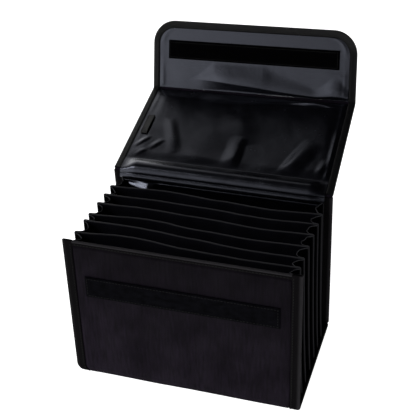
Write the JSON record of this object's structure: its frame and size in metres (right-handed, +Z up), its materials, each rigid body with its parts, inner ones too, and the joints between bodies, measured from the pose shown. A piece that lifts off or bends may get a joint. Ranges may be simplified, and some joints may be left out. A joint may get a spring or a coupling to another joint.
{
  "type": "cosmetic bag",
  "caption": "Open pleated organiser bag: boxy black cloth shell, concertina side gussets, upright cloth dividers, and a soft folding flap with a hook-and-loop closure.",
  "frame": {"origin": "middle of the bottom panel's outer face, on the surface the bag stands on", "axes": "+X to the right seen from the front, -Y out of the front panel, +Z up"},
  "size_m": [0.2501, 0.2975, 0.3041],
  "materials": {
    "shell_cloth": "matte black woven nylon over board",
    "lining_cloth": "shiny bluish black lining cloth",
    "gusset_cloth": "dark satin pleated cloth",
    "binding_tape": "rough woven black tape",
    "loop_tape": "black looped pile",
    "hook_tape": "deep black hooked tape"
  },
  "bodies": {
    "root": {"front_panel": "shell_cloth", "bottom_panel": "shell_cloth", "back_panel": "shell_cloth", "lid_panel": "shell_cloth", "flap_panel": "shell_cloth", "left_gusset": "gusset_cloth", "right_gusset": "gusset_cloth", "divider_1": "gusset_cloth", "divider_2": "gusset_cloth", "divider_3": "gusset_cloth", "divider_4": "gusset_cloth", "divider_5": "gusset_cloth", "divider_6": "gusset_cloth", "back_lining": "lining_cloth", "lid_lining": "lining_cloth", "flap_lining": "lining_cloth", "left_side_binding": "binding_tape", "right_side_binding": "binding_tape", "flap_binding": "binding_tape", "front_hem": "binding_tape", "label_tag": "binding_tape", "loop_strip": "loop_tape", "hook_strip": "hook_tape"}
  },
  "joints": []
}
